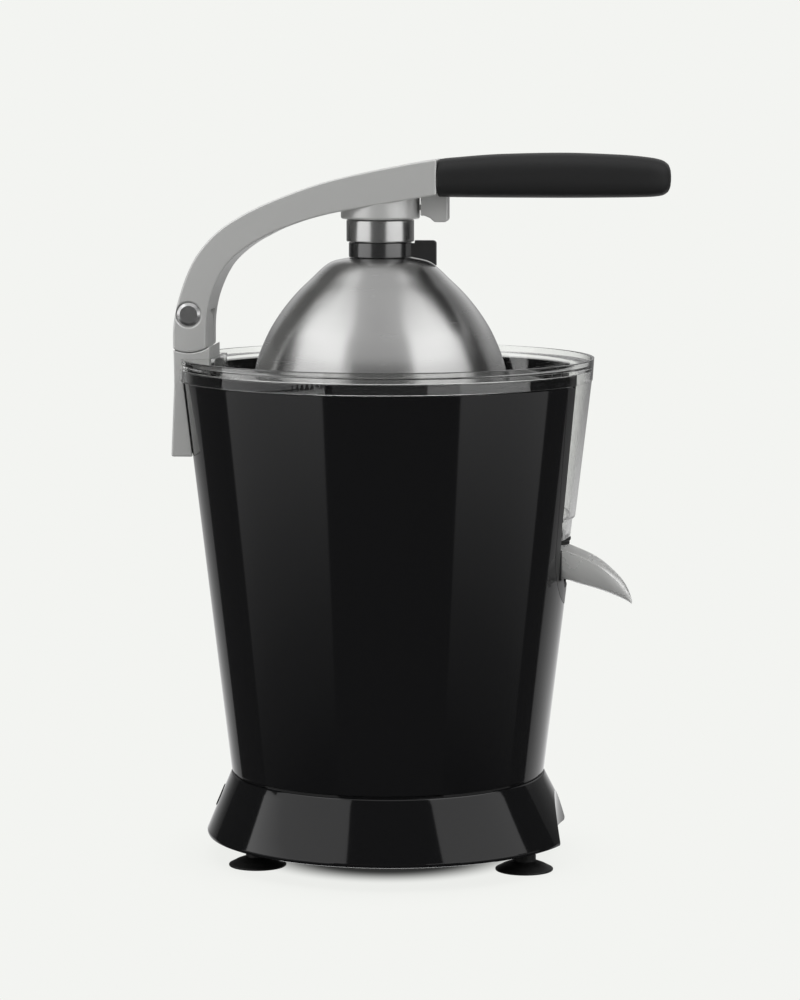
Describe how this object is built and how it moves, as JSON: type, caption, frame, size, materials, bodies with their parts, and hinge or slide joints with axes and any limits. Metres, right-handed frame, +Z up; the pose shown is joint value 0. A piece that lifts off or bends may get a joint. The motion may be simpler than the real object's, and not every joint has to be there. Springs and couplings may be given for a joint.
{
  "type": "lever citrus press",
  "caption": "Countertop electric citrus press: round tapered body, clear bowl with chute and pouring spout, ribbed reamer, and a steel dome on a hinged lever with a long grip.",
  "frame": {"origin": "on the surface that it stands on, under the middle of its length and width", "axes": "+Z up, +X to the front where the spout and the grip point, +Y to the other side than the camera's"},
  "size_m": [0.2392, 0.2006, 0.3399],
  "materials": {
    "gloss_black": "smooth high gloss",
    "black_plastic": "satin moulded",
    "soft_touch": "matte soft-touch coat",
    "rubber": "matte rubber",
    "cast_metal": "satin, fine cast grain with bright edges",
    "brushed_steel": "brushed round the axis",
    "dark_steel": "plain turned steel",
    "clear_plastic": "clear, slightly smoky",
    "white_plastic": "natural moulded",
    "brass": "turned",
    "copper": "varnished windings"
  },
  "bodies": {
    "press_body": {"housing_shell": "gloss_black", "inner_deck": "gloss_black", "base_skirt": "gloss_black", "base_plate": "black_plastic", "suction_foot_1": "rubber", "suction_foot_2": "rubber", "suction_foot_3": "rubber", "suction_foot_4": "rubber", "base_screw_1": "dark_steel", "base_screw_2": "dark_steel", "base_screw_3": "dark_steel", "base_screw_4": "dark_steel", "cord_gland": "rubber", "spout_bezel": "black_plastic", "lever_bracket": "cast_metal", "bracket_screw_1": "dark_steel", "bracket_screw_2": "dark_steel", "pivot_bush": "brass", "spindle_bush": "brass", "juice_bowl": "clear_plastic", "outlet_seal": "rubber", "sieve": "brushed_steel", "lay_axle": "dark_steel", "motor_stator": "dark_steel", "motor_coil_1": "copper", "motor_coil_2": "copper", "motor_end_bracket": "dark_steel", "motor_screw_1": "dark_steel", "motor_screw_2": "dark_steel", "gearbox_lower": "white_plastic", "gearbox_cover": "white_plastic", "gearbox_screw_1": "dark_steel", "gearbox_screw_2": "dark_steel", "gearbox_screw_3": "dark_steel", "gearbox_screw_4": "dark_steel", "switch_body": "white_plastic"},
    "lever": {"lever_arm": "cast_metal", "pivot_pin": "brushed_steel", "pivot_cap": "brushed_steel", "grip": "soft_touch", "collar": "cast_metal"},
    "trigger": {"release_trigger": "cast_metal"},
    "dome_unit": {"dome": "brushed_steel", "dome_ring": "black_plastic", "dome_stem": "brushed_steel", "stem_nut": "dark_steel"},
    "spout_unit": {"spout": "brushed_steel", "spout_block": "black_plastic"},
    "motor_unit": {"motor_rotor": "dark_steel", "motor_pinion": "brass", "cooling_fan": "white_plastic"},
    "lay_unit": {"lay_gear": "white_plastic"},
    "drive_unit": {"output_gear": "white_plastic", "spindle_spring": "dark_steel"},
    "spindle_unit": {"drive_spindle": "dark_steel", "reamer": "black_plastic"},
    "plunger_unit": {"switch_plunger": "white_plastic"}
  },
  "joints": [
    {"name": "lever_hinge", "type": "hinge", "parent": "press_body", "child": "lever", "pos_m": [-0.1093, 0, 0.2633], "axis": [0, -1, 0], "range_deg": [0, 75]},
    {"name": "dome_twist", "type": "hinge", "parent": "lever", "child": "dome_unit", "pos_m": [-0.019, 0, 0.29], "axis": [0, 0, 1], "range_deg": [0, 90]},
    {"name": "trigger_slide", "type": "slide", "parent": "lever", "child": "trigger", "axis": [1, 0, 0], "range_m": [0, 0.0032], "stiffness_N_per_m": 600, "springref_m": -0.003},
    {"name": "motor_spin", "type": "hinge", "parent": "press_body", "child": "motor_unit", "pos_m": [-0.0574, 0, 0.116], "axis": [0, 0, 1], "continuous": true},
    {"name": "lay_spin", "type": "hinge", "parent": "press_body", "child": "lay_unit", "pos_m": [-0.0487, -0.02976, 0.116], "axis": [0, 0, 1], "continuous": true},
    {"name": "drive_spin", "type": "hinge", "parent": "press_body", "child": "drive_unit", "pos_m": [-0.0154, 0, 0.12], "axis": [0, 0, 1], "continuous": true},
    {"name": "spindle_press", "type": "slide", "parent": "drive_unit", "child": "spindle_unit", "axis": [0, 0, -1], "range_m": [0, 0.0025], "stiffness_N_per_m": 2000, "springref_m": -0.004, "deforming": ["spindle_spring"]},
    {"name": "switch_press", "type": "slide", "parent": "press_body", "child": "plunger_unit", "axis": [0, 0, -1], "range_m": [0, 0.0025]},
    {"name": "spout_tilt", "type": "hinge", "parent": "press_body", "child": "spout_unit", "pos_m": [0.0621, 0, 0.143], "axis": [0, -1, 0], "range_deg": [0, 25]}
  ],
  "couplings": [
    {"joint": "lay_spin", "follows": "motor_spin", "ratio": -0.25},
    {"joint": "drive_spin", "follows": "motor_spin", "ratio": 0.066667},
    {"joint": "switch_press", "follows": "spindle_press", "ratio": 1}
  ]
}
